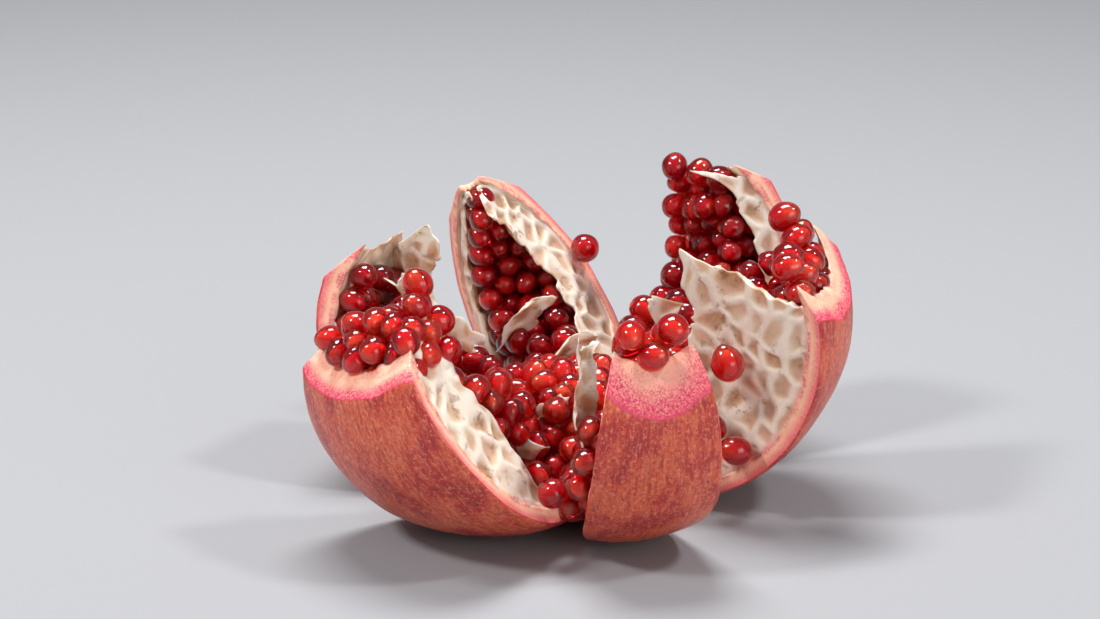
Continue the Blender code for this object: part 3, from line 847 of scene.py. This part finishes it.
def arilShapes(middles, ways, around, seed, tones, levels=3, size=1.0):
    # each aril is a drop along its way, cut back softly by the planes half way to its
    # neighbours: its reach in a direction is the soft least of the drop's and the planes'
    chance = np.random.default_rng(seed)
    ball = closedBlock((levels,) * 3, lambda *sides: (np.stack(sides, -1) - 0.5, {}), True)
    rays = np.tan(ball["points"] * 1.35)
    rays = rays / np.linalg.norm(rays, axis=1)[:, None]
    ways = ways + chance.normal(0.0, arilShape["lean"], ways.shape)
    ways = ways / np.linalg.norm(ways, axis=1)[:, None]
    side = np.cross(ways, chance.normal(0.0, 1.0, ways.shape))
    side = side / np.linalg.norm(side, axis=1)[:, None]
    turns = np.stack([side, np.cross(ways, side), ways], axis=1)      # rows: side, other side, way
    width = arilShape["halfWidth"] * size * chance.uniform(0.92, 1.08, len(middles))
    length = arilShape["halfLength"] * size * chance.uniform(0.92, 1.08, len(middles))
    slim = 1.0 - arilShape["point"] * smoothStep(rays[:, 2], 0.0, 1.0)
    flat = np.hypot(rays[:, 0], rays[:, 1])
    drop = 1.0 / np.hypot(flat / (width[:, None] * slim), rays[:, 2] / length[:, None])
    directions = np.einsum("vk,akj->avj", rays, turns)
    gaps = around[None] - middles[:, None]
    far = np.linalg.norm(gaps, axis=2)
    nearest = np.argsort(far, axis=1)[:, 1:17]
    gaps = np.take_along_axis(gaps, nearest[..., None], axis=1)
    far = np.take_along_axis(far, nearest, axis=1)
    facing = np.einsum("avj,anj->avn", directions, gaps / far[..., None]).clip(0.05)
    planes = ((far / 2.0 - arilShape["seam"]).clip(1.8))[:, None] / facing
    power = arilShape["squareness"]
    reach = (drop ** -power + (planes ** -power).sum(2)) ** (-1.0 / power)
    bumps = 1.0 + chance.normal(0.0, 0.012, reach.shape)
    flesh = middles[:, None] + directions * (reach * bumps)[..., None]
    small = np.array(arilShape["seedSize"]) * np.array([arilShape["halfWidth"]] * 2
                                                       + [arilShape["halfLength"]]) * size
    seeds = middles[:, None] + np.einsum("vk,akj->avj", rays * small, turns)
    count, corners = len(middles), len(rays)
    faces = (ball["faces"][None] + (np.arange(count) * corners)[:, None, None]).reshape(-1, 4)
    # the share of painted glow, rising towards each aril's pointed end
    marks = {"tone": np.repeat(tones, corners), "tip": np.tile(smoothStep(rays[:, 2], 0.1, 0.95), count)}
    return joined([
        {"points": flesh.reshape(-1, 3), "faces": faces, "marks": marks},
        {"points": seeds.reshape(-1, 3), "faces": faces, "marks": marks},
    ])


def makeArils(name, shape):
    faces = len(shape["faces"])
    kinds = (np.arange(faces) >= faces // 2).astype(np.int32)
    return makePiece(name, shape, [arilMaterial, seedMaterial], kinds, levels=1)


chambers = {name: packedChamber(seg, masses[name]) for name, seg in segments.items()}
everyAril = np.concatenate([middles for middles, ways in chambers.values()])
print("arils packed:", len(everyAril))


def packedMound():
    # points in a dome over the stem end, pushed off the chambers' arils, the husk and each other
    chance = np.random.default_rng(77)
    tree = huskTree()
    floor = fruit["heart"][2] + mound["bottom"]
    middle = np.array(fruit["heart"]) + np.array([*mound["middle"], mound["bottom"]])
    dome = np.array([mound["radius"], mound["radius"], mound["top"] - mound["bottom"]])
    points = chance.normal(0.0, 1.0, (mound["count"], 3))
    share = chance.uniform(0, 1, mound["count"])[:, None] ** 0.4
    points = points / np.linalg.norm(points, axis=1)[:, None] * share
    points[:, 2] = np.abs(points[:, 2])
    points = middle + points * dome
    for step in range(mound["steps"]):
        points = pushedApart(points, arilShape["spacing"], everyAril)
        points[:, :2] -= (points[:, :2] - middle[:2]) * mound["inward"]
        points[:, 2] -= mound["sink"]
        beyond = np.maximum(1.0, np.linalg.norm((points - middle) / dome, axis=1))
        points = middle + (points - middle) / beyond[:, None]
        points[:, 2] = np.maximum(points[:, 2], floor - 1.0)
        points = offHusk(points, tree, mound["offHusk"])
    gap = np.linalg.norm(points[:, None] - everyAril[None], axis=2).min(1)
    order = np.arange(len(points))
    between = np.linalg.norm(points[:, None] - points[None], axis=2)
    earlier = order[:, None] > order
    crowded = (gap < mound["crowded"]) | ((between < mound["crowded"]) & earlier).any(1)
    return points[~crowded]


def huskTree():
    corners, faces = [], []
    for part in [bpy.data.objects[kind + name] for name in segments for kind in ("rind_", "membranes_")]:
        spots = np.zeros(len(part.data.vertices) * 3, np.float32)
        part.data.vertices.foreach_get("co", spots)
        loops = np.zeros(len(part.data.loops), np.int32)
        part.data.loops.foreach_get("vertex_index", loops)
        faces.append(loops.reshape(-1, 4) + sum(len(block) for block in corners))
        corners.append(spots.reshape(-1, 3) * 1000.0)
    return BVHTree.FromPolygons(np.concatenate(corners).tolist(), np.concatenate(faces).tolist())


def offHusk(points, tree, clearance):
    # a point nearer to the husk than the clearance moves off along the surface's normal
    moved = []
    for point in points:
        spot, normal, index, far = tree.find_nearest(tuple(point))
        lack = clearance - (point - np.array(spot)) @ np.array(normal)
        near = far < clearance and lack > 0
        moved.append(point + np.array(normal) * min(2.0, lack) if near else point)
    return np.array(moved)


moundMiddles = packedMound()
everyAril = np.concatenate([everyAril, moundMiddles])
print("mound:", len(moundMiddles))

for name, (middles, ways) in chambers.items():
    seed = segments[name]["seed"]
    # painted shade: the chambers' arils get a lower range of tones than the mound's
    tones = np.random.default_rng(seed + 40).uniform(0.15, 0.85, len(middles))
    shape = arilShapes(middles, ways, everyAril, seed, tones)
    fitPiece(makeArils("arils_" + name + "_packed", shape), "aril", "arils_" + name)
chance = np.random.default_rng(5)
ways = chance.normal(0.0, 1.0, moundMiddles.shape)
ways = ways / np.linalg.norm(ways, axis=1)[:, None]
# painted light: the mound's arils get a higher range of tones, as if lit more
shape = arilShapes(moundMiddles, ways, everyAril, 9, chance.uniform(0.45, 1.0, len(moundMiddles)))
fitPiece(makeArils("arils_centre_packed", shape), "aril", "arils_centre")

# Loose arils: azimuth and elevation of the pointed end, tone and size; the ones on the mound get high
# tones, a painted brightness like the mound's packed arils.
looseArils = {
    "aril_on_membrane": (80, 75, 0.75, 1.0), "aril_right_foot": (160, -10, 0.5, 1.0),
    "aril_right_heel": (120, 30, 0.3, 0.95), "aril_front_left_foot": (175, 5, 0.35, 0.98),
    "aril_back": (60, 10, 0.4, 0.95), "aril_mound_left": (200, 35, 0.8, 1.0),
    "aril_mound_right": (20, 40, 0.7, 1.0), "aril_mound_front": (-80, 50, 0.95, 1.0),
    "aril_mound_back": (95, 30, 0.9, 0.95),
}
nobody = 900.0                 # mm to the places that stand in for a loose aril's neighbours
for number, (name, (azimuth, elevation, tone, size)) in enumerate(looseArils.items()):
    low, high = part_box(name)
    middle = np.array([(low[axis] + high[axis]) * 500.0 for axis in range(3)])[None]
    azimuth, elevation = math.radians(azimuth), math.radians(elevation)
    level = math.cos(elevation)
    way = np.array([[math.cos(azimuth) * level, math.sin(azimuth) * level, math.sin(elevation)]])
    far = middle + np.array([[nobody + 9.0 * step, 0.0, 0.0] for step in range(18)])
    around = np.concatenate([middle, far])
    shape = arilShapes(middle, way, around, 60 + number, np.array([tone]), 4, size)
    fitPiece(makeArils(name + "_drop", shape), "aril", name)
print("arils made")


studio = {
    "floor": paint(154, 155, 158), "background": paint(205, 206, 210), "air": 0.46,
    "reach": 3.0, "wallAt": 0.9, "bend": 0.5,                     # m, the sheet behind the fruit
    "lens": 89.9, "sensor": 36.0, "distance": 0.650, "elevation": 20.4,   # mm, mm, m, degrees
    "aimDown": 16.97, "aimLeft": 0.98,                            # degrees
    "aim": (0.0, 0.0, 0.03),                                      # m, where the lights point
    "lights": {                # place in m, size in m, power in W
        "overhead": ((-0.1, 0.25, 1.0), (0.5, 0.35), 12.0),
        "window": ((-0.7, -0.35, 0.85), (0.16, 0.16), 6.6),
        "lamp": ((0.55, -0.15, 0.9), (0.12, 0.12), 4.0),
        "fill": ((0.7, -0.9, 0.35), (0.8, 0.6), 4.0),
    },
}


def floorSheet():
    # flat floor that sweeps up into the backdrop along a quarter circle
    along = np.linspace(-studio["reach"], studio["reach"], 91)
    bend = np.clip((along - studio["wallAt"]) / studio["bend"], 0.0, math.pi / 2)
    rest = np.maximum(along - studio["wallAt"] - studio["bend"] * math.pi / 2, 0.0)
    y = np.where(along < studio["wallAt"], along, studio["wallAt"] + studio["bend"] * np.sin(bend))
    z = np.where(along < studio["wallAt"], 0.0, studio["bend"] * (1.0 - np.cos(bend)) + rest)
    across = np.linspace(-studio["reach"], studio["reach"], 21)
    wide = len(across)
    points = np.stack([np.tile(across, len(y)), np.repeat(y, wide), np.repeat(z, wide)], -1)
    first = (np.arange(len(y) - 1)[:, None] * wide + np.arange(wide - 1)).ravel()
    faces = np.stack([first, first + 1, first + 1 + wide, first + wide], -1)
    return {"points": points * 1000.0, "faces": faces, "marks": {}}


def backdropFinish():
    finish = Finish("backdrop")
    finish.surface(Base_Color=studio["floor"], Roughness=0.9, Specular_IOR_Level=0.2)
    return finish.material


makePiece("studio_floor", floorSheet(), [backdropFinish()])


def addLight(name, place, size, power):
    light = bpy.data.lights.new(name, "AREA")
    light.shape = "RECTANGLE"
    light.size, light.size_y = size
    light.energy = power
    lamp = bpy.data.objects.new(name, light)
    bpy.context.scene.collection.objects.link(lamp)
    lamp.location = place
    way = np.array(studio["aim"]) - np.array(place)
    flat = math.hypot(way[0], way[1])
    lamp.rotation_euler = (math.atan2(flat, -way[2]), 0.0, math.atan2(way[1], way[0]) - math.pi / 2)


for name, light in studio["lights"].items():
    addLight(name, *light)

world = bpy.data.worlds.new("studioAir")
world.use_nodes = True
world.node_tree.nodes["Background"].inputs["Color"].default_value = studio["background"]
world.node_tree.nodes["Background"].inputs["Strength"].default_value = studio["air"]
bpy.context.scene.world = world

camera = bpy.data.cameras.new("camera")
camera.lens = studio["lens"]
camera.sensor_width = studio["sensor"]
camera.clip_start, camera.clip_end = 0.02, 20.0
view = bpy.data.objects.new("camera", camera)
bpy.context.scene.collection.objects.link(view)
rise = math.radians(studio["elevation"])
heart = [value * 0.001 for value in fruit["heart"]]
view.location = (heart[0], heart[1] - studio["distance"] * math.cos(rise),
                 heart[2] + studio["distance"] * math.sin(rise))
view.rotation_euler = (math.radians(90.0 - studio["aimDown"]), 0.0, math.radians(studio["aimLeft"]))
bpy.context.scene.camera = view
bpy.context.scene.view_settings.view_transform = "Standard"
